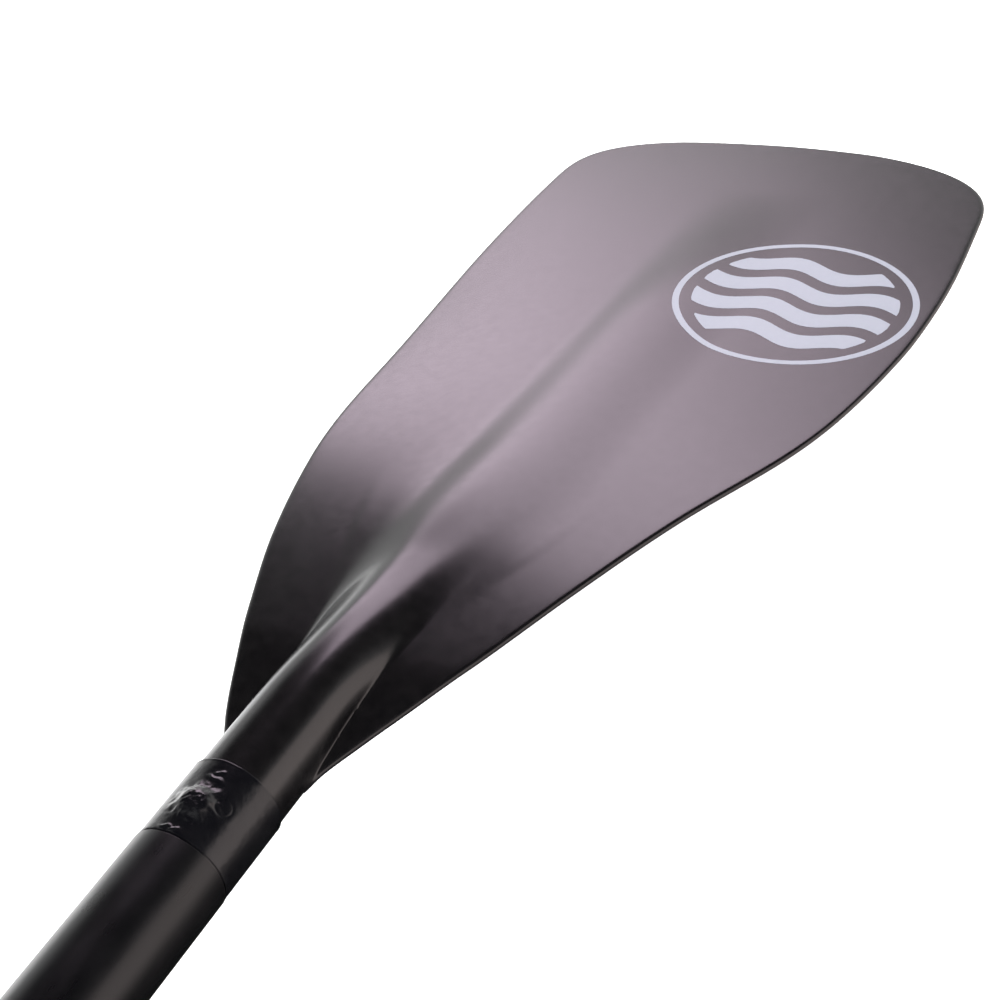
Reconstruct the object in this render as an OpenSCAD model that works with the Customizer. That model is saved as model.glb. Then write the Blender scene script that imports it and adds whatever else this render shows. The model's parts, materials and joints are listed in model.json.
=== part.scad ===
// Kayak paddle in two halves. A lever clamp at the middle holds its length and its feather angle.
// X runs along the shaft, +Z is up and the blades' backs face up. The paddle lies on its blades,
// so the shaft's axis is held above the surface at z = 0. Sizes are in millimetres.

/* [Paddle] */
// Overall length with the halves pushed together
paddle_len = 2200; // [2000:10:2300]
// Extra length that the ferrule pulls out
extra_len = 150; // [0:10:160]

/* [Blade] */
// From the shaft cover's rim to the blade's tip
blade_len = 449; // [440:1:480]
// Thickness of the blade's rim
rim_t = 2.4; // [2:0.2:4]
// Thickness of the blade along its middle
mid_t = 5; // [4:0.5:8]
// How far the blade falls away from the shaft's line, per millimetre of its length
rake = 0.0734; // [0:0.005:0.1]
// How far the blade's edges lie below its middle
edge_drop = 6; // [0:1:12]
// Radius of the blade's neck
neck_r = 14.1; // [13.6:0.1:14.2]
// Height of the ridge that carries the spine on along the blade's back
ridge_h = 2.6; // [0:0.2:4]

/* [Shaft] */
// Outer radius of the shaft cover
cover_r = 15; // [14.8:0.1:16]
// Outer radius of the shaft tube
tube_r = 14.2; // [14.2:0.1:14.5]
// Bore radius of the shaft tube
tube_bore_r = 13; // [12.9:0.1:13]
// Radius of the joint sleeve's film
film_r = 14.75; // [14.6:0.05:15]
// Radius of the ferrule
ferrule_r = 12.9; // [12.8:0.02:12.9]

/* [Drip rings] */
// Distance from the middle of the paddle to each drip ring
drip_x = 490; // [420:10:540]
// Outer radius of a drip ring
drip_r = 25; // [20:1:28]

/* [Clamp] */
// Outer radius of the clamp collar
collar_r = 19; // [18.5:0.5:22]
// Width of the clamp lever along the shaft
lever_w = 24; // [20:1:26]
// Radius of the lever's cam
cam_r = 7; // [6.5:0.5:7.5]
// Distance from the cam's centre to the pin that it turns on
cam_throw = 1; // [0.6:0.1:1.2]

/* [Hidden] */
$fn = 72;

// Clearances
slip = 0.02;     // between glued or clamped pieces
cut = 1;         // how far a cutting shape runs past a face

// Along the blade, measured from the shaft cover's rim
tube_end = 22;           // where the shaft tube ends and the blade's neck begins
film_end = 28.3;         // the film bridges that seam
wing_start = 40;         // where the blade widens out of its neck
wing_sink = 4.8;         // how far the blade's root lies below the shaft's axis
wing_rise = 55;          // the length over which it comes up to the axis
corner_start = 405;      // where the tip's corners begin
rake_start = 141;        // where the blade begins to fall away
rake_blend = 30;
spine_dip = 2;
ridge_y = -4;            // the ridge's crest runs a little off the shaft's line
ridge_w_pos = 25;        // its width from crest to foot on its +Y side
ridge_w_neg = 32;        // and on its gentler -Y side
insert_start = -50;
insert_end = 75;
insert_shoulder_r = 11;  // the part of the insert that is in the blade
insert_bore_r = 8.5;
rivet_u = 12;
rivet_tilt = 6;          // degrees off the top of the shaft
half_len = paddle_len / 2;
seam_x = half_len - blade_len;

// Half-widths of the blade at points along it, on its +Y side and on its -Y side
WIDTH_POS = [[wing_start, neck_r], [48, 20], [60, 27], [80, 36], [100, 45], [135, 59.5], [180, 73.5],
    [210, 79.5], [255, 84.5], [330, 93.5], [390, 97.5], [blade_len, 98]];
WIDTH_NEG = [[wing_start, neck_r], [48, 15.8], [60, 21.3], [80, 31.5], [100, 40], [135, 52], [180, 67.5],
    [225, 85], [255, 92.5], [300, 98], [330, 99], [360, 98], [400, 94], [blade_len, 88]];
CORNER_POS = 4;        // how square each corner of the tip is
CORNER_NEG = 3.1;

// Stations of the blade's cross-sections
RING_POINTS = 60;
CORNER_STEPS = [15, 27, 38, 48, 58, 67, 75, 82, 87];
STATIONS = concat(
    [tube_end + 0.2, 32, wing_start, 41.5, 44, 48, 53, 59, 66, 74, 83, 93, 104, 116, 128],
    [for (u = [141 : 16 : 269]) u],
    [for (u = [289 : 20 : 389]) u],
    [corner_start],
    [for (a = CORNER_STEPS) corner_start + (blade_len - corner_start) * sin(a)]
);

// Along the shaft, measured from the paddle's middle
left_tube_end = -2;
right_tube_start = 18;
left_cover_end = -46;
stop_end = 30;
insert_hold = 8;         // how far the index ring reaches into the collar
ferrule_start = -210;
ferrule_end = 130;
ferrule_bore_r = 11.4;

// The clamp's ears, bolt and pin
split_w = 3;
ear_y = 8;               // outer faces of the ears
washer_t = 1;
bolt_x = -22;
bolt_z = 24;             // above the shaft's axis
bolt_r = 2.45;
pin_r = 3.5;
pin_y = -(ear_y + washer_t + cam_r + cam_throw + 0.05);

function clamp01(t) = max(0, min(1, t));
function ease(t) = let (s = clamp01(t)) s * s * (3 - 2 * s);
function soft_ramp(x, w) = w * ln(1 + exp(x / w));
function soft_max(a, b, k) = max(a, b) + (k > 0 ? pow(max(k - abs(a - b), 0), 2) / (4 * k) : 0);

// Slope of a smooth curve through points at its point i
function slope(p, i) = let (a = max(i - 1, 0), b = min(i + 1, len(p) - 1))
    (p[b][1] - p[a][1]) / (p[b][0] - p[a][0]);
// Height of the smooth curve at u, on the stretch that begins at point i
function curve(p, u, i = 0) = i < len(p) - 2 && u > p[i + 1][0] ? curve(p, u, i + 1)
    : let (h = p[i + 1][0] - p[i][0], t = (u - p[i][0]) / h)
        p[i][1] * (1 + 2 * t) * pow(1 - t, 2) + slope(p, i) * h * t * pow(1 - t, 2)
        + p[i + 1][1] * t * t * (3 - 2 * t) - slope(p, i + 1) * h * t * t * (1 - t);

function corner(u, squareness) = u <= corner_start ? 1
    : pow(1 - pow((u - corner_start) / (blade_len - corner_start), squareness), 1 / squareness);
function half_width(u, widths, squareness) =
    u <= wing_start ? neck_r : curve(widths, u) * corner(u, squareness);

// The blade's middle line falls away from the shaft, and its middle surface also bows across the width
function fall(u) = -rake * soft_ramp(u - rake_start, rake_blend);
function middle(u, y) = fall(u) - wing_sink * (1 - ease((u - wing_start) / wing_rise))
    - edge_drop * ease((u - 60) / 260) * pow(min(abs(y) / 100, 1.3), 1.7);
// Half the blade's thickness, which thins towards the rim and the tip, where it is rounded
function half_thickness(u, y, w) =
    let (
        across = clamp01(abs(y) / w),
        swell = (mid_t - rim_t) * (1 - across * across) * (1 - ease((u - 200) / 220)),
        from_tip = min(1, (blade_len - u) / rim_t * 2)
    )
    0.5 * (rim_t + swell) * sqrt(1 - pow(across, 4 * w / rim_t)) * sqrt(1 - pow(1 - from_tip, 2));
// The neck's round outline, which spreads out and sinks into the blade as a spine.
// It is rise high at the middle and spine_half_w(u) wide, and dips under the blade outside that.
function spine_half_w(u) = neck_r + 40 * ease((u - 60) / 200);
function spine(u, y, rise) =
    let (
        s = pow(y / spine_half_w(u), 2),
        power = 0.5 + 1.5 * ease((u - 60) / 100),
        dip = spine_dip * s * ease((u - 100) / 100)
    )
    (s < 1 ? rise * pow(1 - s, power) : -neck_r * pow(s - 1, power)) - dip;
function back_rise(u) = neck_r / (1 + pow(max(0, u - 60) / 74, 2));
function face_rise(u) = neck_r * (1 - ease((u - 80) / 85));
// The ridge rises out of the spine and fades out before the tip
function ridge(u, y) =
    let (across = (y - ridge_y) / (y > ridge_y ? ridge_w_pos : ridge_w_neg))
    ridge_h * ease((u - 110) / 85) * (1 - ease((u - 295) / 110)) * pow(max(0, 1 - across * across), 2);
// How softly the spine runs into the blade, which it must not lift where the spine is gone
function blend_r(u, rise) = min(1 + 7 * ease((u - 60) / 140), 1.5 * max(0, rise - rim_t / 2));

function ring_point(u, a) =
    let (
        in_neck = u <= wing_start,
        wide = half_width(u, cos(a) > 0 ? WIDTH_POS : WIDTH_NEG, cos(a) > 0 ? CORNER_POS : CORNER_NEG),
        y = wide * cos(a),
        mid = in_neck ? 0 : middle(u, y),
        t = in_neck ? 0 : half_thickness(u, y, wide),
        near_rim = pow(abs(sin(a)), 0.5),
        over = soft_max(mid + t, fall(u) + spine(u, y, back_rise(u)), near_rim * blend_r(u, back_rise(u))),
        back = over + ridge(u, y),
        face = -soft_max(t - mid, spine(u, y, face_rise(u)) - fall(u), near_rim * blend_r(u, face_rise(u)))
    )
    [u, y, abs(sin(a)) < 0.001 ? mid : sin(a) > 0 ? back : face];

RINGS = concat(
    [for (a = [0 : 360 / RING_POINTS : 359]) [insert_end + 1, bore_r() * cos(a), bore_r() * sin(a)]],
    [for (a = [0 : 360 / RING_POINTS : 359]) [tube_end + 0.2, bore_r() * cos(a), bore_r() * sin(a)]],
    [for (u = STATIONS, a = [0 : 360 / RING_POINTS : 359]) ring_point(u, a)]
);
function bore_r() = insert_shoulder_r + 0.05;
BLADE_POINTS = concat(RINGS, [[insert_end + 1, 0, 0], [blade_len, 0, middle(blade_len, 0)]]);
lowest_point = min([for (p = RINGS) p[2]]);
axis_h = -lowest_point;

// Places its children along the shaft's axis, at their real height
module on_axis() {
    translate([0, 0, axis_h]) children();
}

// Places its children at an end of the paddle (side 1 or -1), with X measured from the cover's rim
module at_end(side) {
    on_axis() mirror([side < 0 ? 1 : 0, 0, 0]) translate([seam_x, 0, 0]) children();
}

// A round bar along X from x0 to x1
module bar(x0, x1, r) {
    translate([x0, 0, 0]) rotate([0, 90, 0]) cylinder(h = x1 - x0, r = r);
}

// A round tube along X from x0 to x1
module pipe(x0, x1, r, bore) {
    difference() {
        bar(x0, x1, r);
        bar(x0 - cut, x1 + cut, bore);
    }
}

// A part turned about X, from an outline of [x, radius] points
module turned(outline) {
    rotate([0, 90, 0]) rotate_extrude() polygon([for (p = outline) [p[1], p[0]]]);
}

// The rivet's direction: X is the blade's, Z points out through the rivet's head
module at_rivet() {
    translate([rivet_u, 0, 0]) rotate([rivet_tilt, 0, 0]) children();
}

module blade(side) {
    n = RING_POINTS;
    rings = len(RINGS) / n;
    start = len(RINGS);
    faces = concat(
        [for (r = [0 : rings - 2], i = [0 : n - 1]) [r * n + i, (r + 1) * n + i, r * n + (i + 1) % n]],
        [for (r = [0 : rings - 2], i = [0 : n - 1])
            [r * n + (i + 1) % n, (r + 1) * n + i, (r + 1) * n + (i + 1) % n]],
        [for (i = [0 : n - 1]) [start, i, (i + 1) % n]],
        [for (i = [0 : n - 1]) [(rings - 1) * n + i, start + 1, (rings - 1) * n + (i + 1) % n]]
    );
    color([0.12, 0.12, 0.13]) at_end(side) polyhedron(points = BLADE_POINTS, faces = faces, convexity = 8);
}

module neck_insert(side) {
    color([0.25, 0.25, 0.26]) at_end(side) difference() {
        union() {
            bar(insert_start, tube_end, tube_bore_r - 0.05);
            bar(insert_start, insert_end, insert_shoulder_r);
        }
        bar(insert_start - cut, insert_end + cut, insert_bore_r);
        at_rivet() cylinder(h = cover_r, r = 2.45);
    }
}

module blade_rivet(side) {
    head_r = 4.75;
    head_h = 2;
    rim_h = 0.4;
    dome_r = (head_r * head_r + pow(head_h - rim_h, 2)) / (2 * (head_h - rim_h));
    color([0.6, 0.6, 0.62]) at_end(side) at_rivet() {
        translate([0, 0, 5.2]) cylinder(h = 2.4, r = 3.4);
        translate([0, 0, 7]) cylinder(h = tube_r - 6.5, r = 2.4);
        translate([0, 0, tube_r + 0.05]) intersection() {
            cylinder(h = head_h, r = head_r);
            translate([0, 0, head_h - dome_r]) sphere(r = dome_r);
        }
    }
}

module joint_sleeve(side) {
    dome_r = 10.4;
    dome_z = 6.5;
    color([0.07, 0.07, 0.075]) at_end(side) difference() {
        union() {
            bar(0.2, film_end, film_r);
            at_rivet() translate([0, 0, dome_z]) sphere(r = dome_r);
        }
        bar(-cut, film_end + cut, tube_r + slip);
        at_rivet() translate([0, 0, dome_z]) sphere(r = dome_r - 0.5);
    }
}

module shaft_tube_left() {
    color([0.7, 0.71, 0.73]) on_axis() difference() {
        pipe(-seam_x - tube_end, left_tube_end, tube_r, tube_bore_r);
        translate([left_tube_end - 30, -split_w / 2, 0]) cube([31, split_w, cover_r]);
        mirror([1, 0, 0]) translate([seam_x, 0, 0]) at_rivet() cylinder(h = cover_r, r = 2.45);
    }
}

module shaft_tube_right() {
    color([0.7, 0.71, 0.73]) on_axis() difference() {
        pipe(right_tube_start, seam_x + tube_end, tube_r, tube_bore_r);
        translate([seam_x, 0, 0]) at_rivet() cylinder(h = cover_r, r = 2.45);
    }
}

module shaft_cover(x0, x1) {
    color([0.1, 0.1, 0.105]) on_axis() pipe(x0, x1, cover_r, tube_r + slip);
}

module foam_plug(x0, x1) {
    color([0.85, 0.84, 0.8]) on_axis() bar(x0, x1, tube_bore_r - 0.1);
}

// A sleeve with a cupped lip that opens towards the nearer blade
module drip_ring(side) {
    profile = [[cover_r + 0.06, -9], [17, -9], [17.4, -8], [17.6, 1], [drip_r - 1, 5], [drip_r, 6.2],
        [drip_r - 1.2, 7], [18, 3.6], [17.4, 4.4], [17, 9], [cover_r + 0.06, 9]];
    color([0.16, 0.16, 0.17]) on_axis() mirror([side < 0 ? 1 : 0, 0, 0])
        translate([drip_x, 0, 0]) rotate([0, 90, 0]) rotate_extrude() polygon(profile);
}

// Split ring round the left tube's end, with two ears that the clamp bolt pulls together
module clamp_collar() {
    x0 = left_cover_end + 2;
    x1 = insert_hold + 0.5;
    taper = 1.4;
    ear_w = lever_w + 4;
    ear_top = bolt_z + 6;
    corner_r = 4;
    color([0.13, 0.13, 0.135]) on_axis() difference() {
        union() {
            turned([[x0, 0], [x0, collar_r - taper], [x0 + taper, collar_r], [x1 - taper / 2, collar_r],
                [x1, collar_r - taper / 2], [x1, 0]]);
            translate([bolt_x, ear_y, 0]) rotate([90, 0, 0]) linear_extrude(height = 2 * ear_y) {
                translate([-ear_w / 2, 0]) square([ear_w, ear_top - corner_r]);
                translate([corner_r - ear_w / 2, 0]) square([ear_w - 2 * corner_r, ear_top]);
                for (side = [-1, 1])
                    translate([side * (ear_w / 2 - corner_r), ear_top - corner_r]) circle(r = corner_r);
            }
        }
        bar(x0 - cut, left_tube_end, tube_r + 0.05);
        bar(x0, x1, ferrule_r + 0.4);
        bar(0, x1 + cut, 16.15);
        translate([x0 - cut, -split_w / 2, 0]) cube([x1 - x0 + 2 * cut, split_w, ear_top + cut]);
        translate([bolt_x, ear_y + cut, bolt_z]) rotate([90, 0, 0]) cylinder(h = 2 * ear_y + 2 * cut, r = 2.6);
        translate([4.3, 0, -collar_r - cut]) cylinder(h = collar_r, r = 1.55);
    }
}

module clamp_bolt() {
    head_h = 4;
    tip_y = pin_y - 2.4;
    color([0.75, 0.76, 0.78]) on_axis() translate([bolt_x, 0, bolt_z]) rotate([-90, 0, 0]) difference() {
        union() {
            translate([0, 0, tip_y]) cylinder(h = ear_y - tip_y + cut, r = bolt_r);
            translate([0, 0, ear_y + slip]) cylinder(h = head_h, r = 4.3);
        }
        translate([0, 0, ear_y + 1.5]) cylinder(h = head_h, r = 2.3, $fn = 6);
    }
}

module barrel_pin() {
    color([0.8, 0.8, 0.82]) on_axis() translate([0, pin_y, bolt_z]) difference() {
        bar(bolt_x - lever_w / 2 + 0.5, bolt_x + lever_w / 2 - 0.5, pin_r);
        translate([bolt_x, 0, 0]) rotate([90, 0, 0]) cylinder(h = 10, r = bolt_r + 0.05, center = true);
    }
}

module cam_washer() {
    color([0.8, 0.8, 0.82]) on_axis() translate([bolt_x, 0, bolt_z]) difference() {
        translate([-lever_w / 2 + 1.5, -ear_y - washer_t, -5]) cube([lever_w - 3, washer_t - slip, 10]);
        rotate([90, 0, 0]) cylinder(h = 20, r = 2.6);
    }
}

// Cam cheeks on the barrel pin, and an arm that lies round the collar when the clamp is shut
module clamp_lever() {
    arm_r = collar_r + 0.7;
    arm_t = 4;
    top = 150;
    bottom = 210;
    lip_at = arm_r + arm_t / 2;
    lip_r = 1.6;
    function polar(r, a) = [r * cos(a), r * sin(a)];
    color([0.09, 0.09, 0.095]) on_axis() translate([bolt_x - lever_w / 2, 0, 0]) difference() {
        rotate([90, 0, 90]) linear_extrude(height = lever_w) difference() {
            union() {
                translate([pin_y + cam_throw, bolt_z]) circle(r = cam_r);
                polygon([[pin_y + cam_throw - cam_r, bolt_z], polar(arm_r + arm_t, top + 6),
                    polar(arm_r, top - 8), [pin_y + 4, bolt_z - 5.7], [pin_y, bolt_z]]);
                intersection() {
                    difference() {
                        circle(r = arm_r + arm_t);
                        circle(r = arm_r);
                    }
                    polygon([[0, 0], polar(60, top - 8), polar(60, 180), polar(60, bottom)]);
                }
                translate(polar(lip_at, bottom)) circle(r = arm_t / 2);
                translate(polar(lip_at + 4, bottom + 5)) circle(r = lip_r);
                polygon([polar(arm_r + 0.1, bottom), polar(arm_r + arm_t, bottom - 6),
                    polar(lip_at + 4 + lip_r, bottom + 3.4), polar(lip_at + 3.2, bottom + 8.7)]);
            }
            translate([pin_y, bolt_z]) circle(r = pin_r + 0.06);
        }
        translate([lever_w / 2 - 3.25, pin_y - 20, bolt_z - 3.6]) cube([6.5, 40, 20]);
    }
}

// Turns in the collar's counterbore, and is keyed to the ferrule, so its flange sets the feather angle
module index_ring() {
    flange_x0 = insert_hold + 0.9;
    flange_x1 = 13.2;
    color([0.16, 0.16, 0.165]) on_axis() {
        difference() {
            union() {
                bar(0.3, flange_x0 + 1, 16.05);
                turned([[flange_x0, 0], [flange_x0, 17.8], [flange_x0 + 0.6, 18.4], [flange_x1 - 0.6, 18.4],
                    [flange_x1, 17.8], [flange_x1, 0]]);
            }
            bar(-cut, flange_x1 + cut, ferrule_r + 0.1);
            for (a = [0 : 30 : 330]) rotate([a, 0, 0]) translate([0, 0, 19]) bar(flange_x0 - cut, flange_x1 + cut, 1.3);
            difference() {
                bar(2.4, 6.2, 17);
                bar(2, 7, 15.2);
            }
        }
        translate([0.6, -1.2, -13.6]) cube([7.4, 2.4, 1.4]);
    }
}

module index_ring_screw() {
    color([0.75, 0.76, 0.78]) on_axis() translate([4.3, 0, -collar_r]) difference() {
        cylinder(h = collar_r - 15.35, r = 1.5);
        translate([0, 0, -cut]) cylinder(h = 2.2, r = 0.8, $fn = 6);
    }
}

module ferrule_tube() {
    groove_end = 14;
    color([0.2, 0.2, 0.21]) on_axis() difference() {
        pipe(ferrule_start, ferrule_end, ferrule_r, ferrule_bore_r);
        translate([-extra_len, -1.3, -ferrule_r - cut]) cube([extra_len + groove_end, 2.6, cut + 0.75]);
    }
}

module ferrule_plug() {
    x0 = ferrule_start - 8;
    color([0.15, 0.15, 0.155]) on_axis() difference() {
        union() {
            bar(x0, ferrule_start - 0.1, ferrule_r - 0.05);
            bar(x0, ferrule_start + 14, ferrule_bore_r - 0.03);
        }
        difference() {
            bar(x0 + 2.8, x0 + 5.2, 14);
            bar(x0 + 2, x0 + 6, 11.15);
        }
    }
}

module ferrule_seal() {
    color([0.1, 0.1, 0.1]) on_axis() translate([ferrule_start - 4, 0, 0]) rotate([0, 90, 0])
        rotate_extrude() translate([12.08, 0]) circle(r = 0.87);
}

module stop_collar() {
    x0 = 13.6;
    color([0.13, 0.13, 0.135]) on_axis() difference() {
        turned([[x0, 0], [x0, 17.4], [x0 + 0.8, 18.2], [x0 + 6, 18.2], [x0 + 7, 17.2], [stop_end - 4, 17.2],
            [stop_end, 15.6], [stop_end, 0]]);
        bar(x0 - cut, stop_end, ferrule_r + slip);
        bar(right_tube_start - 0.1, stop_end + cut, tube_r + slip);
    }
}

blade(-1);  // blade_left
neck_insert(-1);  // neck_insert_left
blade_rivet(-1);  // blade_rivet_left
joint_sleeve(-1);  // joint_sleeve_left
shaft_tube_left();
shaft_cover(-seam_x, left_cover_end);  // shaft_cover_left
foam_plug(-560, -520);  // foam_plug_left
drip_ring(-1);  // drip_ring_left
clamp_collar();
clamp_bolt();
barrel_pin();
cam_washer();
clamp_lever();
index_ring();
index_ring_screw();
ferrule_tube();
ferrule_plug();
ferrule_seal();
stop_collar();
shaft_tube_right();
shaft_cover(stop_end + 0.5, seam_x);  // shaft_cover_right
foam_plug(520, 560);  // foam_plug_right
drip_ring(1);  // drip_ring_right
blade(1);  // blade_right
neck_insert(1);  // neck_insert_right
blade_rivet(1);  // blade_rivet_right
joint_sleeve(1);  // joint_sleeve_right
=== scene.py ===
"""The looks of a double-bladed kayak paddle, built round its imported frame.

Shapes are worked out in millimetres and placed in the frame's metres. A blade's own coordinates are u
along it from the shaft cover's rim, y across it and z above the shaft's axis, as in the part's design.
Angles round the shaft are measured from +Y towards +Z, so 90 degrees is the top.
"""
import json
import math

import bpy
import numpy as np
from mathutils import Euler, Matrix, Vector, noise


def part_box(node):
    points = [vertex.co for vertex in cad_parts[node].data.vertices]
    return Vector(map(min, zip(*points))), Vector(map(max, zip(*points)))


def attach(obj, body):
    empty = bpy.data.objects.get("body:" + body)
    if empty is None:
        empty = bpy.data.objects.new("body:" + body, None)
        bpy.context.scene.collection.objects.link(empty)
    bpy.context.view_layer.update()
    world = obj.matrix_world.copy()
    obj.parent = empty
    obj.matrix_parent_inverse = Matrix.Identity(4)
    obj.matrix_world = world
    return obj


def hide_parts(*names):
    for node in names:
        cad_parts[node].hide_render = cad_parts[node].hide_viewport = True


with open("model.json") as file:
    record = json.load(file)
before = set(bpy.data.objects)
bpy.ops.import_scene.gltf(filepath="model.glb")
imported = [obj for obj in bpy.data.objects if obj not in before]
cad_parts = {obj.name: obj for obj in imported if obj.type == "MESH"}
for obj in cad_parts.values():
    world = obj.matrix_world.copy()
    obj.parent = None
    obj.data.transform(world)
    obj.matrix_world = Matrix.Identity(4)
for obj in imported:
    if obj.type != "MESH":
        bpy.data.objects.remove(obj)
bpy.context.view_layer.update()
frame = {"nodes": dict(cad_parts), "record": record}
nodes = frame["nodes"]

MM = 0.001
ENDS = (("left", -1, "left_half"), ("right", 1, "right_half"))

# The frame's own measures
cover_low, cover_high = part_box("shaft_cover_right")
AXIS_H = (cover_low.z + cover_high.z) / 2
COVER_R = (cover_high.z - cover_low.z) / 2 / MM
SEAM_X = cover_high.x
BLADE_LEN = (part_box("blade_right")[1].x - SEAM_X) / MM


# ---------------------------------------------------------------- Meshes

def at_end(side, points):
    """Points of a blade's own coordinates, in mm, as points of the frame at that end (side 1 or -1)."""
    u, y, z = np.moveaxis(np.asarray(points, float), -1, 0)
    return np.stack([side * (SEAM_X + u * MM), y * MM, AXIS_H + z * MM], -1)


def on_axis(points):
    """Points measured from the paddle's middle on the shaft's axis, in mm, as points of the frame."""
    return np.asarray(points, float) * MM + (0, 0, AXIS_H)


def new_mesh(name, points, faces):
    mesh = bpy.data.meshes.new(name)
    mesh.from_pydata([tuple(p) for p in points], [], faces)
    mesh.validate()
    piece = bpy.data.objects.new(name, mesh)
    bpy.context.scene.collection.objects.link(piece)
    return piece


def quads(rows, columns, wrap=False, flip=False):
    """The faces of a grid of points, whose rows close into rings if wrap is set."""
    faces = []
    for r in range(rows - 1):
        for c in range(columns if wrap else columns - 1):
            a = r * columns + c
            b = r * columns + (c + 1) % columns
            face = (a, b, b + columns, a + columns)
            faces.append(face[::-1] if flip else face)
    return faces


def plane(name, x_low, x_high, y_low, y_high):
    corners = [(x_low, y_low, 0), (x_high, y_low, 0), (x_high, y_high, 0), (x_low, y_high, 0)]
    return new_mesh(name, corners, [(0, 1, 2, 3)])


def shade_smooth(piece, sharp_angle=40):
    piece.data.shade_smooth()
    piece.data.set_sharp_from_angle(angle=math.radians(sharp_angle))


def finish_piece(piece, body, material, slot, *replaced):
    """Puts a new piece on its body, with its material, in place of the CAD nodes that it stands for."""
    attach(piece, body)
    piece.data.materials.append(material)
    if replaced:
        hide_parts(*replaced)


def turned(name, outline, columns=128):
    """A closed ring about the shaft's axis from a closed outline of (x, radius) points in mm."""
    x, radius = np.array(outline, float).T
    angles = np.linspace(0, 2 * math.pi, columns, endpoint=False)
    rings = [np.stack([np.full(columns, xi), ri * np.cos(angles), ri * np.sin(angles)], -1)
             for xi, ri in zip(np.append(x, x[0]), np.append(radius, radius[0]))]
    rows = len(outline)
    faces = [tuple(i % (rows * columns) for i in face) for face in quads(rows + 1, columns, wrap=True)]
    piece = new_mesh(name, on_axis(np.concatenate(rings[:-1])), faces)
    shade_smooth(piece)
    return piece


def corner_arc(x, radius, size, start, count=5):
    """Points of a quarter circle round a corner's centre, turning back from the start angle in degrees."""
    turns = np.radians(start - np.linspace(0, 90, count))
    return [(x + size * math.cos(a), radius + size * math.sin(a)) for a in turns]


# ---------------------------------------------------------------- Blades

NECK_R = 14.1
NECK_END = 22.2          # the blade's own end, under the film
SOCKET_R = 11.05
SOCKET_END = 76
WING_START = 40
WING_SINK = 4.8
WING_RISE = 55
SPREAD_START = 60        # where the neck's round starts to spread into the blade
CORNER_START = 405
RIM_T = 2.4
MID_T = 5
SWELL_FADE = (200, 220)  # where a change along the blade starts, and how far it runs on
RAKE = 0.0734
RAKE_START = 141
RAKE_BLEND = 30
EDGE_DROP = 6
EDGE_DROP_RUN = 260
BACK_RISE_HALF = 74      # how far past SPREAD_START the spine on the back is half gone
FACE_RISE_FADE = (80, 85)
SPINE_SPREAD = 40
SPINE_DIP = 2
SPINE_DIP_RISE = (100, 100)
RIDGE_RISE = (110, 85)
RIDGE_FADE = (295, 110)
RIDGE_H = 2.6
RIDGE_Y = -4
RIDGE_W_POS = 25
RIDGE_W_NEG = 32
WIDTH_POS = [[WING_START, NECK_R], [48, 20], [60, 27], [80, 36], [100, 45], [135, 59.5], [180, 73.5],
    [210, 79.5], [255, 84.5], [330, 93.5], [390, 97.5], [BLADE_LEN, 98]]
WIDTH_NEG = [[WING_START, NECK_R], [48, 15.8], [60, 21.3], [80, 31.5], [100, 40], [135, 52], [180, 67.5],
    [225, 85], [255, 92.5], [300, 98], [330, 99], [360, 98], [400, 94], [BLADE_LEN, 88]]
CORNER_POS = 4
CORNER_NEG = 3.1
FINE_END = 170           # up to here the mesh's rings are close together


def ease(t):
    t = np.clip(t, 0, 1)
    return t * t * (3 - 2 * t)


def eased(u, start, run):
    """0 up to start and 1 from start + run on, with a smooth step between them."""
    return ease((u - start) / run)


def soft_max(a, b, reach):
    reach = np.maximum(reach, 1e-9)
    return np.maximum(a, b) + np.maximum(reach - abs(a - b), 0) ** 2 / (4 * reach)


def curve(points, u):
    """Height at u of the smooth curve through points."""
    x, h = np.array(points, float).T
    last = len(x) - 1
    before = np.maximum(np.arange(last + 1) - 1, 0)
    after = np.minimum(np.arange(last + 1) + 1, last)
    slope = (h[after] - h[before]) / (x[after] - x[before])
    i = int(np.clip(np.searchsorted(x, u) - 1, 0, last - 1))
    step = x[i + 1] - x[i]
    t = (u - x[i]) / step
    return (h[i] * (1 + 2 * t) * (1 - t) ** 2 + slope[i] * step * t * (1 - t) ** 2
            + h[i + 1] * t * t * (3 - 2 * t) - slope[i + 1] * step * t * t * (1 - t))


def half_width(u, widths, squareness):
    along = max(0, (u - CORNER_START) / (BLADE_LEN - CORNER_START))
    return curve(widths, u) * (1 - min(1, along) ** squareness) ** (1 / squareness)


def half_widths(u, y):
    """The blade's half-width at u on the side that each y is on."""
    return np.where(y > 0, half_width(u, WIDTH_POS, CORNER_POS), half_width(u, WIDTH_NEG, CORNER_NEG))


def fall(u):
    return -RAKE * RAKE_BLEND * math.log(1 + math.exp((u - RAKE_START) / RAKE_BLEND))


def middle(u, y):
    """The blade's middle surface, which comes up out of the neck, falls away and bows across the width."""
    root = WING_SINK * (1 - eased(u, WING_START, WING_RISE))
    bow = EDGE_DROP * eased(u, SPREAD_START, EDGE_DROP_RUN) * np.minimum(abs(y) / 100, 1.3) ** 1.7
    return fall(u) - root - bow


def half_thickness(u, y, w):
    across = np.clip(abs(y) / w, 0, 1)
    swell = (MID_T - RIM_T) * (1 - across ** 2) * (1 - eased(u, *SWELL_FADE))
    from_tip = min(1, (BLADE_LEN - u) / RIM_T * 2)
    rounding = np.sqrt(np.maximum(1 - across ** (4 * w / RIM_T), 0)) * math.sqrt(1 - (1 - from_tip) ** 2)
    return 0.5 * (RIM_T + swell) * rounding


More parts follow.
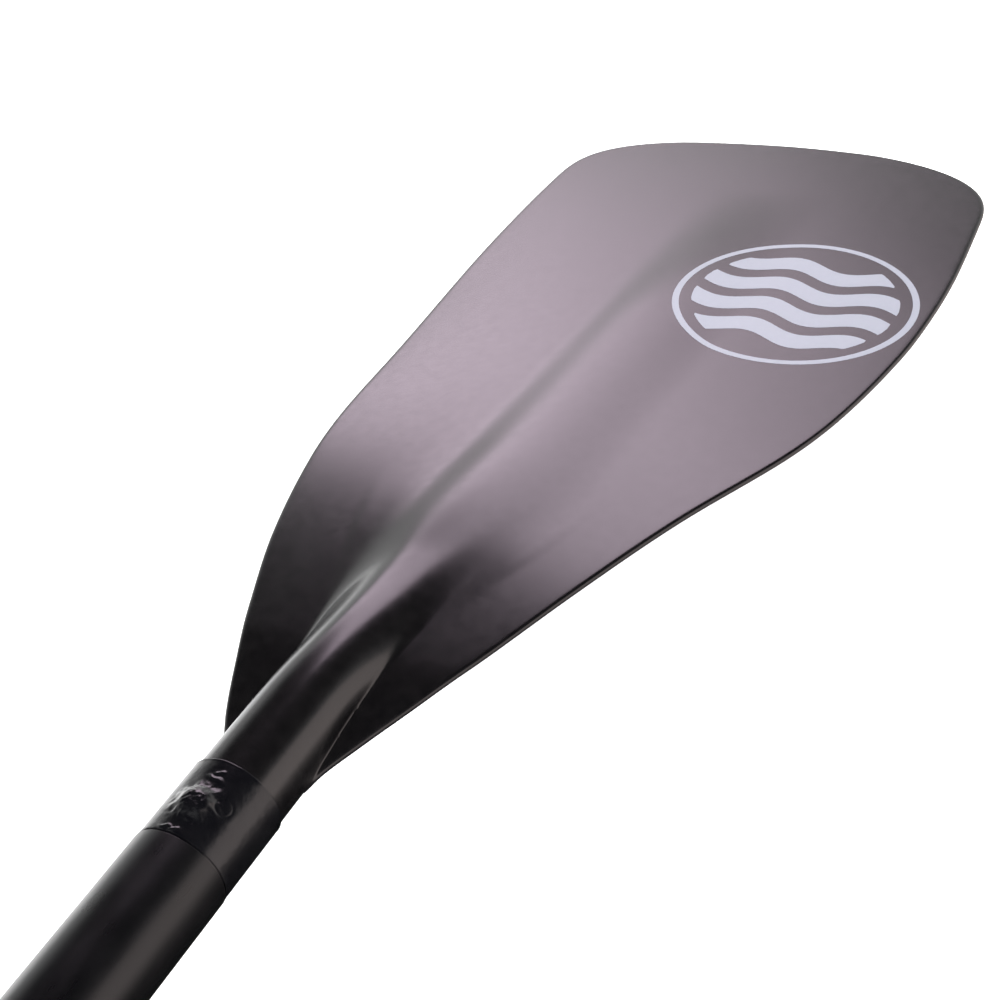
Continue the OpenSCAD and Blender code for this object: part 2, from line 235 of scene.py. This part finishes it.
def spine(u, y, rise):
    """The neck's round outline, which spreads out and sinks into the blade."""
    s = (y / (NECK_R + SPINE_SPREAD * eased(u, SPREAD_START, 200))) ** 2
    power = 0.5 + 1.5 * eased(u, SPREAD_START, 100)
    inside = rise * np.maximum(1 - s, 0) ** power
    outside = -NECK_R * np.maximum(s - 1, 0) ** power
    return np.where(s < 1, inside, outside) - SPINE_DIP * s * eased(u, *SPINE_DIP_RISE)


def blend_reach(u, rise, y, w):
    """How softly the spine runs into the blade, which it must not lift where the spine is gone."""
    near_rim = np.maximum(1 - np.clip(abs(y) / w, 0, 1) ** 2, 0) ** 0.25
    wanted = 1 + 7 * eased(u, SPREAD_START, 140)
    spine_left = 1.5 * max(0, rise - RIM_T / 2)
    return near_rim * -soft_max(-wanted, -spine_left, min(3, spine_left))


def ridge(u, y):
    """The low ridge that carries the spine on along the back, and fades out before the tip."""
    height = RIDGE_H * eased(u, *RIDGE_RISE) * (1 - eased(u, *RIDGE_FADE))
    across = (y - RIDGE_Y) / np.where(y > RIDGE_Y, RIDGE_W_POS, RIDGE_W_NEG)
    return height * np.maximum(1 - across ** 2, 0) ** 2


def back_z(u, y):
    """Height of the blade's back, the printed side."""
    w = half_widths(u, y)
    rise = NECK_R / (1 + (max(0, u - SPREAD_START) / BACK_RISE_HALF) ** 2)
    flat = middle(u, y) + half_thickness(u, y, w)
    over = soft_max(flat, fall(u) + spine(u, y, rise), blend_reach(u, rise, y, w))
    return over + ridge(u, y)


def face_z(u, y):
    """Height of the blade's power face, on its other side."""
    w = half_widths(u, y)
    rise = NECK_R * (1 - eased(u, *FACE_RISE_FADE))
    flat = half_thickness(u, y, w) - middle(u, y)
    return -soft_max(flat, spine(u, y, rise) - fall(u), blend_reach(u, rise, y, w))


def spread(y, z, count):
    """count points along an outline from rim to rim, evenly spaced but closer together at the rims."""
    length = np.concatenate([[0], np.cumsum(np.hypot(np.diff(y), np.diff(z)))])
    to_rim = np.minimum(length, length[-1] - length)
    weight = 1 + 9 * np.exp(-to_rim / (0.8 * RIM_T))
    along = np.concatenate([[0], np.cumsum(np.diff(length) * (weight[1:] + weight[:-1]) / 2)])
    wanted = np.linspace(0, along[-1], count)
    return np.interp(wanted, along, y), np.interp(wanted, along, z)


def blade_ring(u, back_count=136, face_count=84):
    """The blade's outline at u: over the back from the +Y rim to the -Y rim, then back along the face."""
    a = np.linspace(0, math.pi, 2401)
    y = half_widths(u, np.cos(a)) * np.cos(a)
    rims = middle(u, y[[0, -1]])
    back = back_z(u, y)
    face = face_z(u, y)
    for outline in (back, face):
        outline[[0, -1]] = rims
    back_y, back = spread(y, back, back_count)
    face_y, face = spread(y[::-1], face[::-1], face_count)
    ys = np.concatenate([back_y, face_y[1:-1]])
    zs = np.concatenate([back, face[1:-1]])
    return np.stack([np.full(len(ys), u), ys, zs], -1)


def blade(name, side):
    """A blade as one closed mesh, with the socket that its neck insert fills."""
    corner = BLADE_LEN - CORNER_START
    stations = np.concatenate([
        np.arange(WING_START + 0.2, SPREAD_START, 1), np.arange(SPREAD_START, FINE_END, 1.6),
        np.arange(FINE_END, CORNER_START, 3.6),
        CORNER_START + corner * np.sin(np.radians(np.arange(0, 89, 2.4)))])
    wing_rings = [blade_ring(u) for u in stations]
    outward = wing_rings[0][:, 1:] / np.linalg.norm(wing_rings[0][:, 1:], axis=1, keepdims=True)
    count = len(outward)

    def round_ring(u, radius, height=0):
        return np.column_stack([np.full(count, u), radius * outward]) + (0, 0, height)

    rings = [round_ring(SOCKET_END, SOCKET_R), round_ring(NECK_END, SOCKET_R)]
    rings += [round_ring(u, NECK_R, fall(u)) for u in np.linspace(NECK_END, WING_START, 7)] + wing_rings
    tip = [BLADE_LEN, 0, float(middle(BLADE_LEN, np.zeros(1))[0])]
    points = np.concatenate([*rings, [[SOCKET_END, 0, 0], tip]])
    flip = side > 0
    faces = quads(len(rings), count, wrap=True, flip=flip)
    socket, end = len(points) - 2, len(points) - 1
    last = end - 1 - count
    for i in range(count):
        j = (i + 1) % count
        caps = ((socket, j, i), (end, last + i, last + j))
        faces += [cap[::-1] if flip else cap for cap in caps]
    piece = new_mesh(name, at_end(side, points), faces)
    shade_smooth(piece, 50)
    return piece


# ---------------------------------------------------------------- Print on the blades

BADGE_U = 322
BADGE_Y = -50
BADGE_R = 38
BADGE_RING = (4.5, 7)    # the thin ring's edges, past BADGE_R
WAVE_LEVELS = (-24, -8, 8, 24)
WAVE_HALF = 4.8
WAVE_SWING = 3.2
WAVE_LENGTH = 38
INK_OVER = 0.06          # how far the ink stands above the blade
INK_UNDER = 0.1          # how far its solid reaches into it


def ink_strip(one_edge, other_edge, rows, wrap):
    """Points and faces of a thin solid that lies on a blade's back between two lines of (u, y) points."""
    across = np.linspace(0, 1, rows)[:, None, None]
    flat = np.array(one_edge) * (1 - across) + np.array(other_edge) * across
    columns = flat.shape[1]
    on_back = [(u, y, back_z(u, np.array([y]))[0]) for u, y in flat.reshape(-1, 2)]
    top = np.array(on_back) + (0, 0, INK_OVER)
    under = np.array(on_back) - (0, 0, INK_UNDER)
    count = len(top)
    faces = quads(rows, columns, wrap)
    faces += [tuple(i + count for i in face[::-1]) for face in faces]
    last = (rows - 1) * columns
    for c in range(columns if wrap else columns - 1):
        d = (c + 1) % columns
        faces.append((d, c, c + count, d + count))
        faces.append((last + c, last + d, last + d + count, last + c + count))
    if not wrap:
        for r in range(0, last, columns):
            end, beyond = r + columns - 1, r + 2 * columns - 1
            faces.append((r, r + columns, r + columns + count, r + count))
            faces.append((beyond, end, end + count, beyond + count))
    return np.concatenate([top, under]), faces


def badge_shapes():
    """A round badge of four waves inside a thin ring."""
    shapes = []
    turns = np.radians(np.arange(0, 360, 3))
    around = np.stack([np.cos(turns), np.sin(turns)], -1)
    centre = np.array([BADGE_U, BADGE_Y])
    ring_edges = [centre + (BADGE_R + past) * around for past in BADGE_RING]
    shapes.append(ink_strip(*ring_edges, 3, wrap=True))
    y = np.linspace(-BADGE_R + 0.5, BADGE_R - 0.5, 91)
    wave = WAVE_SWING * np.sin(2 * math.pi * y / WAVE_LENGTH)
    rim = np.sqrt(BADGE_R ** 2 - y ** 2)
    for level in WAVE_LEVELS:
        low = np.clip(level - WAVE_HALF + wave, -rim, rim)
        high = np.clip(level + WAVE_HALF + wave, -rim, rim)
        kept = high - low > 0.5
        sides = [centre + np.stack([edge[kept], y[kept]], -1) for edge in (low, high)]
        shapes.append(ink_strip(*sides, 7, wrap=False))
    return shapes


def blade_print(name, side):
    points, faces = [], []
    for shape, shape_faces in badge_shapes():
        offset = len(points)
        points.extend(shape)
        faces += [tuple(i + offset for i in face) for face in shape_faces]
    if side < 0:
        faces = [face[::-1] for face in faces]
    piece = new_mesh(name, at_end(side, points), faces)
    shade_smooth(piece)
    return piece


# ---------------------------------------------------------------- Film over the joint

FILM_START = 0.8         # past a groove by the shaft cover's rim
FILM_END = 28.1
FILM_R = 14.75
FILM_BORE = 14.22
FILM_SEEDS = {1: 3.7, -1: 21.3}
RIVET_U = 12
RIVET_AT = 96
TENT_H = 2.1
TENT_HALF = 4.7          # how far from the rivet's middle the tent is half as high
TENT_END = 12
MARK_U = 14.8            # a small round mark pressed into the film
MARK_AT = 126
MARK_R = 2.6
MARK_W = 0.3
MARK_DEPTH = 0.07
# Creases in the film: place along, angle, half-length, half-width, height, turn away from the shaft's line
CREASES = (
    (21.3, 99, 2.6, 0.7, 0.34, 100), (23.6, 98, 1.6, 0.6, 0.24, 72), (7.5, 101, 1.2, 0.5, 0.22, 60),
    (6.1, 103, 0.9, 0.45, 0.2, 120), (7.6, 95, 0.8, 0.5, 0.16, 90), (2.1, 85, 2.2, 0.6, 0.3, 84),
    (1.9, 97, 1.5, 0.6, 0.34, 78), (17.4, 118, 1.8, 0.6, 0.12, 40),
)


def tent(distance):
    """The film's rise over the rivet's head, which falls away in a hollow curve."""
    return TENT_H / (1 + (distance / TENT_HALF) ** 5) * np.exp(-(distance / TENT_END) ** 4)


def crease(u, round_mm, line):
    at, angle, half_len, half_w, height, turn = line
    along_u = u - at
    along_y = round_mm - math.radians(angle) * FILM_R
    c, s = math.cos(math.radians(turn)), math.sin(math.radians(turn))
    along = along_u * c + along_y * s
    across = -along_u * s + along_y * c + 0.3 * np.sin(along * 1.6)
    return height * np.exp(-(along / half_len) ** 4 - (across / half_w) ** 2)


def lumps(along, across, scale, seed):
    return np.array([noise.noise(Vector((a * scale, b * scale, seed))) for a, b in zip(along, across)])


def film_rise(u, angle, seed):
    """How far the film stands off its round: the rivet's tent with folds about it, creases and lumps."""
    round_mm = angle * FILM_R
    du, dy = u - RIVET_U, round_mm - math.radians(RIVET_AT) * FILM_R
    distance = np.hypot(du, dy)
    bearing = np.arctan2(dy, du)
    small = lumps(du, dy, 0.9, seed)
    broad = lumps(du, dy, 0.42, seed + 9)
    folds = np.sin(7 * bearing + 2.2 * broad + seed) + 0.6 * np.sin(12 * bearing - 3 * broad)
    rise = tent(distance)
    rise += 0.13 * folds * np.exp(-((distance - 6.2) / 1.8) ** 2)
    rise += 0.2 * small * np.exp(-(distance / 4.2) ** 4)
    rise += 0.035 * broad + 0.02 * small
    for line in CREASES:
        rise += crease(u, round_mm, line)
    off_mark = np.hypot(u - MARK_U, round_mm - math.radians(MARK_AT) * FILM_R) - MARK_R
    rise -= MARK_DEPTH * np.exp(-(off_mark / MARK_W) ** 2)
    return rise


def film_sleeve(name, side):
    """The shrunk film as a closed sleeve with thin lips at its ends."""
    columns = 360
    angle = np.linspace(0, 2 * math.pi, columns, endpoint=False) + math.radians(RIVET_AT) - math.pi
    seed = FILM_SEEDS[side]
    edge = np.array([noise.noise(Vector((math.cos(a) * 2, math.sin(a) * 2, seed))) for a in angle])
    start = np.full(columns, FILM_START)
    end = FILM_END + 0.2 * edge
    rows = [(start - 0.75, FILM_BORE), (start - 0.75, FILM_BORE + 0.1), (start, FILM_BORE + 0.14)]
    for t in np.linspace(0, 1, 112):
        u = start + (end - start) * t
        lip = 0.1 * np.exp(-((end - u) / 0.5) ** 2) - 0.12 * (t in (0, 1))
        rows.append((u, FILM_R + film_rise(u, angle, seed) + lip))
    rows += [(end, FILM_BORE + 0.12), (end - 0.1, FILM_BORE)]
    points = [np.stack([u, radius * np.cos(angle), radius * np.sin(angle)], -1) for u, radius in rows]
    count = len(rows) * columns
    grid = quads(len(rows) + 1, columns, wrap=True, flip=side < 0)
    faces = [tuple(i % count for i in face) for face in grid]
    piece = new_mesh(name, at_end(side, np.concatenate(points)), faces)
    shade_smooth(piece, 60)
    return piece


# ---------------------------------------------------------------- Shaft covers

COVER_LIP = 0.15


def shaft_cover(name, node):
    """The thin sleeve on the shaft, with rounded rims."""
    low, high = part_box(node)
    x0, x1 = low.x / MM, high.x / MM
    shoulder = COVER_R - COVER_LIP
    outline = [(x0, FILM_BORE)] + corner_arc(x0 + COVER_LIP, shoulder, COVER_LIP, 180)
    outline += corner_arc(x1 - COVER_LIP, shoulder, COVER_LIP, 90) + [(x1, FILM_BORE)]
    return turned(name, outline, 144)


# ---------------------------------------------------------------- Materials

TEXTURE_SPAN = (0.3, 0.7)    # where a noise texture's values mostly lie


def start_material(name, color, roughness, metallic=0):
    """A new material with its node tree, its shader and the coordinates that its textures use."""
    made = bpy.data.materials.new(name)
    made.use_nodes = True
    tree = made.node_tree
    shader = tree.nodes["Principled BSDF"]
    shader.inputs["Base Color"].default_value = (*color, 1)
    shader.inputs["Roughness"].default_value = roughness
    shader.inputs["Metallic"].default_value = metallic
    place = tree.nodes.new("ShaderNodeTexCoord").outputs["Object"]
    return made, tree, shader, place


def grain(tree, place, stretch, detail=2):
    """Noise with lumps 1 / stretch metres long each way."""
    mapping = tree.nodes.new("ShaderNodeMapping")
    mapping.inputs["Scale"].default_value = stretch
    texture = tree.nodes.new("ShaderNodeTexNoise")
    texture.inputs["Scale"].default_value = 1
    texture.inputs["Detail"].default_value = detail
    tree.links.new(place, mapping.inputs["Vector"])
    tree.links.new(mapping.outputs["Vector"], texture.inputs["Vector"])
    return texture.outputs["Fac"]


def map_range(tree, value, low, high, to_low, to_high, kind="SMOOTHSTEP"):
    """Goes from to_low to to_high as value goes from low to high. Either may be another node's output."""
    made = tree.nodes.new("ShaderNodeMapRange")
    made.interpolation_type = kind
    made.inputs["From Min"].default_value = low
    made.inputs["From Max"].default_value = high
    for end, level in (("To Min", to_low), ("To Max", to_high)):
        if isinstance(level, bpy.types.NodeSocket):
            tree.links.new(level, made.inputs[end])
        else:
            made.inputs[end].default_value = level
    tree.links.new(value, made.inputs["Value"])
    return made.outputs["Result"]


def vary(tree, value, low, high, socket):
    """Moves a number between low and high with a texture."""
    tree.links.new(map_range(tree, value, *TEXTURE_SPAN, low, high, "LINEAR"), socket)


def vary_color(tree, value, dark, light, socket):
    ramp = tree.nodes.new("ShaderNodeValToRGB")
    for stop, position, color in zip(ramp.color_ramp.elements, TEXTURE_SPAN, (dark, light)):
        stop.position = position
        stop.color = (*color, 1)
    tree.links.new(value, ramp.inputs["Fac"])
    tree.links.new(ramp.outputs["Color"], socket)


def add_bump(tree, value, height, shader):
    """Raises the surface by height metres with a texture, on top of the bumps that it has."""
    bump = tree.nodes.new("ShaderNodeBump")
    bump.inputs["Distance"].default_value = height
    tree.links.new(value, bump.inputs["Height"])
    normal = shader.inputs["Normal"]
    if normal.is_linked:
        tree.links.new(normal.links[0].from_socket, bump.inputs["Normal"])
    tree.links.new(bump.outputs["Normal"], normal)


def blade_plastic():
    """Gloss moulded plastic, with faint flow streaks along the blade and fine handling marks."""
    made, tree, shader, place = start_material("blade_plastic", (0.004, 0.0036, 0.004), 0.22)
    marks = grain(tree, place, (260, 260, 260), 4)
    vary(tree, marks, 0.205, 0.235, shader.inputs["Roughness"])
    vary_color(tree, marks, (0.003, 0.0028, 0.0032), (0.005, 0.0046, 0.005), shader.inputs["Base Color"])
    add_bump(tree, grain(tree, place, (5, 55, 5), 1), 0.00008, shader)
    add_bump(tree, grain(tree, place, (900, 900, 900)), 0.0000015, shader)
    return made


def print_ink():
    """Cool white pad print, a little uneven."""
    made, tree, shader, place = start_material("print_ink", (0.32, 0.34, 0.40), 0.35)
    marks = grain(tree, place, (350, 350, 350), 3)
    vary_color(tree, marks, (0.31, 0.33, 0.39), (0.33, 0.35, 0.41), shader.inputs["Base Color"])
    vary(tree, marks, 0.32, 0.4, shader.inputs["Roughness"])
    return made


def shrink_film():
    """Glossy black film with a skin like fine orange peel."""
    made, tree, shader, place = start_material("shrink_film", (0.003, 0.003, 0.004), 0.24)
    shader.inputs["Specular IOR Level"].default_value = 0.42
    smears = grain(tree, place, (180, 180, 180), 3)
    vary(tree, smears, 0.2, 0.27, shader.inputs["Roughness"])
    vary_color(tree, smears, (0.002, 0.002, 0.003), (0.004, 0.004, 0.005), shader.inputs["Base Color"])
    add_bump(tree, grain(tree, place, (420, 420, 420), 3), 0.00002, shader)
    return made


def cover_plastic():
    """Matte extruded sleeve with faint lines along it."""
    made, tree, shader, place = start_material("cover_plastic", (0.003, 0.003, 0.0035), 0.3)
    shader.inputs["Specular IOR Level"].default_value = 0.34
    wear = grain(tree, place, (60, 160, 160), 4)
    vary(tree, wear, 0.27, 0.33, shader.inputs["Roughness"])
    vary_color(tree, wear, (0.002, 0.002, 0.0024), (0.0045, 0.0042, 0.005), shader.inputs["Base Color"])
    add_bump(tree, grain(tree, place, (12, 700, 700)), 0.000006, shader)
    add_bump(tree, grain(tree, place, (1600, 1600, 1600)), 0.000004, shader)
    return made


def clamp_plastic():
    """Glass-filled black plastic with a spark-eroded skin."""
    made, tree, shader, place = start_material("clamp_plastic", (0.02, 0.02, 0.022), 0.5)
    wear = grain(tree, place, (220, 220, 220), 5)
    vary(tree, wear, 0.42, 0.55, shader.inputs["Roughness"])
    vary_color(tree, wear, (0.016, 0.016, 0.018), (0.028, 0.028, 0.03), shader.inputs["Base Color"])
    add_bump(tree, grain(tree, place, (1500, 1500, 1500), 3), 0.00003, shader)
    return made


def insert_plastic():
    made, tree, shader, place = start_material("insert_plastic", (0.05, 0.05, 0.055), 0.5)
    flow = grain(tree, place, (60, 400, 400), 3)
    vary(tree, flow, 0.42, 0.6, shader.inputs["Roughness"])
    vary_color(tree, flow, (0.04, 0.04, 0.044), (0.07, 0.07, 0.074), shader.inputs["Base Color"])
    add_bump(tree, flow, 0.00003, shader)
    return made


def ferrule_plastic():
    """Fibreglass tube ground to size, so fine lines run round it."""
    made, tree, shader, place = start_material("ferrule_plastic", (0.05, 0.052, 0.05), 0.42)
    lines = grain(tree, place, (2400, 25, 25), 2)
    cloth = grain(tree, place, (300, 300, 300), 4)
    vary(tree, lines, 0.34, 0.5, shader.inputs["Roughness"])
    vary_color(tree, cloth, (0.035, 0.037, 0.035), (0.07, 0.072, 0.066), shader.inputs["Base Color"])
    add_bump(tree, lines, 0.000012, shader)
    return made


def tube_metal():
    """Drawn aluminium, with lines along it."""
    made, tree, shader, place = start_material("tube_metal", (0.62, 0.63, 0.65), 0.3, 1)
    lines = grain(tree, place, (15, 1500, 1500), 3)
    vary(tree, lines, 0.24, 0.38, shader.inputs["Roughness"])
    vary_color(tree, lines, (0.55, 0.56, 0.58), (0.68, 0.69, 0.71), shader.inputs["Base Color"])
    add_bump(tree, lines, 0.000008, shader)
    return made


def rivet_metal():
    made, tree, shader, place = start_material("rivet_metal", (0.55, 0.55, 0.57), 0.35, 1)
    dents = grain(tree, place, (900, 900, 900), 3)
    vary(tree, dents, 0.28, 0.45, shader.inputs["Roughness"])
    vary_color(tree, dents, (0.48, 0.48, 0.5), (0.62, 0.62, 0.64), shader.inputs["Base Color"])
    add_bump(tree, dents, 0.00002, shader)
    return made


def steel():
    """Stainless steel with a turned and tumbled skin."""
    made, tree, shader, place = start_material("steel", (0.5, 0.5, 0.52), 0.25, 1)
    lines = grain(tree, place, (900, 900, 200), 4)
    vary(tree, lines, 0.18, 0.34, shader.inputs["Roughness"])
    vary_color(tree, lines, (0.44, 0.44, 0.46), (0.58, 0.58, 0.6), shader.inputs["Base Color"])
    add_bump(tree, lines, 0.000006, shader)
    return made


def soft_rubber():
    made, tree, shader, place = start_material("soft_rubber", (0.02, 0.02, 0.021), 0.62)
    bloom = grain(tree, place, (240, 240, 240), 5)
    vary(tree, bloom, 0.55, 0.72, shader.inputs["Roughness"])
    vary_color(tree, bloom, (0.017, 0.017, 0.018), (0.032, 0.031, 0.031), shader.inputs["Base Color"])
    add_bump(tree, grain(tree, place, (1100, 1100, 1100), 3), 0.00003, shader)
    return made


def foam():
    """Closed-cell foam: small shallow cells with pale walls."""
    made, tree, shader, place = start_material("foam", (0.8, 0.79, 0.75), 0.85)
    cells = tree.nodes.new("ShaderNodeTexVoronoi")
    cells.inputs["Scale"].default_value = 900
    tree.links.new(place, cells.inputs["Vector"])
    depth = cells.outputs["Distance"]
    vary_color(tree, depth, (0.66, 0.65, 0.6), (0.85, 0.84, 0.8), shader.inputs["Base Color"])
    add_bump(tree, depth, 0.0002, shader)
    return made


MATERIALS = {maker.__name__: maker() for maker in (
    blade_plastic, print_ink, shrink_film, cover_plastic, clamp_plastic, insert_plastic, ferrule_plastic,
    tube_metal, rivet_metal, steel, soft_rubber, foam)}


# ---------------------------------------------------------------- The paddle

def dress_nodes():
    """Gives every CAD node its slot's material."""
    for row in frame["record"]["subparts"]:
        for slot in nodes[row["node"]].material_slots:
            slot.material = MATERIALS[row["material_slot"]]


def build_ends():
    for word, side, body in ENDS:
        pieces = (
            (blade("fine_blade_" + word, side), "blade_plastic", "blade_" + word),
            (film_sleeve("fine_sleeve_" + word, side), "shrink_film", "joint_sleeve_" + word),
            (shaft_cover("fine_cover_" + word, "shaft_cover_" + word), "cover_plastic",
             "shaft_cover_" + word),
        )
        for piece, slot, node in pieces:
            finish_piece(piece, body, MATERIALS[slot], slot, node)
        badge = blade_print("blade_print_" + word, side)
        finish_piece(badge, body, MATERIALS["print_ink"], "blade_plastic")


# ---------------------------------------------------------------- Studio

CAMERA_AT = Vector((-0.24443, -0.30614, 0.37479))    # from the right blade's seam
CAMERA_TURN = (53.02, 10.04, -61.79)
LENS = 70.2
SCREEN_AT = Vector((2.537, 1.349, 1.19))             # from the same place
SCREEN_BEHIND = (-4.9, 78.4)                         # azimuth and elevation
SCREEN_ROLL = -27.5
SCREEN_W = 3.24
SCREEN_H = 1.07
SCREEN_FADE_X = 0.06
SCREEN_FADE_Y = 0.12
SCREEN_LEVELS = (6.5, 2.8, 5.5, 5, 6.5)
SCREEN_TINT = (1, 0.83, 0.97)
CARD_X = (-2, 3)
CARD_START = 0.012                                   # just past the shaft's axis
CARD_Y = 0.95
CARD_Z = 0.0005
CARD_TOP = 0.5
CARD_TINT = (1, 0.88, 0.85)
CARD_LEVEL = 1.8
CARD_DARK = 0.01                                     # its level under the shaft
CARD_FADE = (-0.16, -0.03)
SUN_FROM = (-144, 55)                                # azimuth and elevation
SUN_ENERGY = 4.8
SUN_WIDTH = 60
FLOOR_HALF = 60
FLOOR_Z = -0.09
FLOOR_GLOW = 0.82
WORLD_WHITE_TO = 14                                  # degrees above the horizon
WORLD_DIM_FROM = 34
OVERHEAD_LEVEL = 0.4
OVERHEAD_FADE = (-0.7, 0)                            # by a direction's own X


def add_object(name, data):
    piece = bpy.data.objects.new(name, data)
    bpy.context.scene.collection.objects.link(piece)
    return piece


def camera():
    data = bpy.data.cameras.new("camera")
    data.lens = LENS
    data.sensor_width = 36
    data.clip_start = 0.01
    piece = add_object("camera", data)
    piece.location = Vector((SEAM_X, 0, AXIS_H)) + CAMERA_AT
    piece.rotation_euler = Euler([math.radians(a) for a in CAMERA_TURN])
    bpy.context.scene.camera = piece


def direction(azimuth, elevation):
    a, e = math.radians(azimuth), math.radians(elevation)
    return Vector((math.cos(a) * math.cos(e), math.sin(a) * math.cos(e), math.sin(e)))


def facing(behind, roll):
    """The rotation of a light that has its back in the direction behind, rolled by so many degrees."""
    turn = behind.to_track_quat("Z", "Y").to_euler()
    turn.rotate_axis("Z", math.radians(roll))
    return turn


def reflected_only(piece):
    """Leaves a piece of the studio to be seen in reflections alone."""
    piece.visible_camera = False
    piece.visible_shadow = False
    piece.visible_diffuse = False


def emitter(piece):
    """A glowing material for a piece of the studio, with its tree, its shader and split coordinates."""
    made = bpy.data.materials.new(piece.name)
    made.use_nodes = True
    tree = made.node_tree
    tree.nodes.clear()
    split = tree.nodes.new("ShaderNodeSeparateXYZ")
    tree.links.new(tree.nodes.new("ShaderNodeTexCoord").outputs["Object"], split.inputs["Vector"])
    glow = tree.nodes.new("ShaderNodeEmission")
    output = tree.nodes.new("ShaderNodeOutputMaterial")
    tree.links.new(glow.outputs["Emission"], output.inputs["Surface"])
    piece.data.materials.append(made)
    return tree, glow, split.outputs


def side_card():
    """A dim card along the near side, darkest under the shaft, which bends up at its far edge."""
    x0, x1 = CARD_X
    corners = [(x0, CARD_START, 0), (x1, CARD_START, 0), (x1, -CARD_Y, 0), (x0, -CARD_Y, 0),
               (x1, -CARD_Y, CARD_TOP), (x0, -CARD_Y, CARD_TOP)]
    piece = new_mesh("side_card", corners, [(0, 1, 2, 3), (3, 2, 4, 5)])
    piece.location.z = CARD_Z
    tree, glow, split = emitter(piece)
    glow.inputs["Color"].default_value = (*CARD_TINT, 1)
    level = map_range(tree, split["Y"], *CARD_FADE, CARD_LEVEL, CARD_DARK)
    tree.links.new(level, glow.inputs["Strength"])
    reflected_only(piece)


def level_ramp(tree, value, levels, tint):
    """A colour ramp through evenly spaced levels of a tint, the highest of which is taken as 1."""
    ramp = tree.nodes.new("ShaderNodeValToRGB")
    stops = ramp.color_ramp.elements
    while len(stops) < len(levels):
        stops.new(0.5)
    for i, level in enumerate(levels):
        stops[i].position = i / (len(levels) - 1)
        stops[i].color = (*(level / max(levels) * c for c in tint), 1)
    tree.links.new(value, ramp.inputs["Fac"])
    return ramp.outputs["Color"]


def tip_screen():
    """A large glowing screen high past the blade's tip, unevenly lit and fading at its edges."""
    half_w, half_h = SCREEN_W / 2, SCREEN_H / 2
    piece = plane("tip_screen", -half_w, half_w, -half_h, half_h)
    piece.location = Vector((SEAM_X, 0, AXIS_H)) + SCREEN_AT
    piece.rotation_euler = facing(direction(*SCREEN_BEHIND), SCREEN_ROLL)
    tree, glow, split = emitter(piece)
    across = map_range(tree, split["Y"], -half_h, half_h, 0, 1, "LINEAR")
    tree.links.new(level_ramp(tree, across, SCREEN_LEVELS, SCREEN_TINT), glow.inputs["Color"])
    strength = max(SCREEN_LEVELS)
    for axis, half, fade in (("X", half_w, SCREEN_FADE_X), ("Y", half_h, SCREEN_FADE_Y)):
        size = tree.nodes.new("ShaderNodeMath")
        size.operation = "ABSOLUTE"
        tree.links.new(split[axis], size.inputs[0])
        strength = map_range(tree, size.outputs[0], half - fade, half, strength, 0)
    tree.links.new(strength, glow.inputs["Strength"])
    reflected_only(piece)


def key_sun():
    """A broad light from above and behind the camera, which whitens the floor evenly."""
    data = bpy.data.lights.new("key_sun", "SUN")
    data.energy = SUN_ENERGY
    data.angle = math.radians(SUN_WIDTH)
    piece = add_object("key_sun", data)
    piece.rotation_euler = facing(direction(*SUN_FROM), 0)
    piece.visible_glossy = False


def floor():
    """A glowing white floor, low enough to clear a blade that is feathered right round."""
    piece = plane("floor", -FLOOR_HALF, FLOOR_HALF, -FLOOR_HALF, FLOOR_HALF)
    piece.location.z = FLOOR_Z
    material, _, shader, _ = start_material("floor", (0.9, 0.9, 0.9), 0.8)
    shader.inputs["Specular IOR Level"].default_value = 0.2
    shader.inputs["Emission Color"].default_value = (1, 1, 1, 1)
    shader.inputs["Emission Strength"].default_value = FLOOR_GLOW
    piece.data.materials.append(material)


def studio_world():
    """White up to a little above the horizon, dim overhead on the camera's side and dark beyond."""
    world = bpy.data.worlds.new("studio")
    bpy.context.scene.world = world
    world.use_nodes = True
    tree = world.node_tree
    split = tree.nodes.new("ShaderNodeSeparateXYZ")
    tree.links.new(tree.nodes.new("ShaderNodeTexCoord").outputs["Generated"], split.inputs["Vector"])
    overhead = map_range(tree, split.outputs["X"], *OVERHEAD_FADE, OVERHEAD_LEVEL, 0)
    low, high = (math.sin(math.radians(angle)) for angle in (WORLD_WHITE_TO, WORLD_DIM_FROM))
    level = map_range(tree, split.outputs["Z"], low, high, 1, overhead)
    tree.links.new(level, tree.nodes["Background"].inputs["Color"])


camera()
floor()
dress_nodes()
build_ends()
studio_world()
tip_screen()
side_card()
key_sun()
bpy.context.scene.view_settings.view_transform = "Standard"
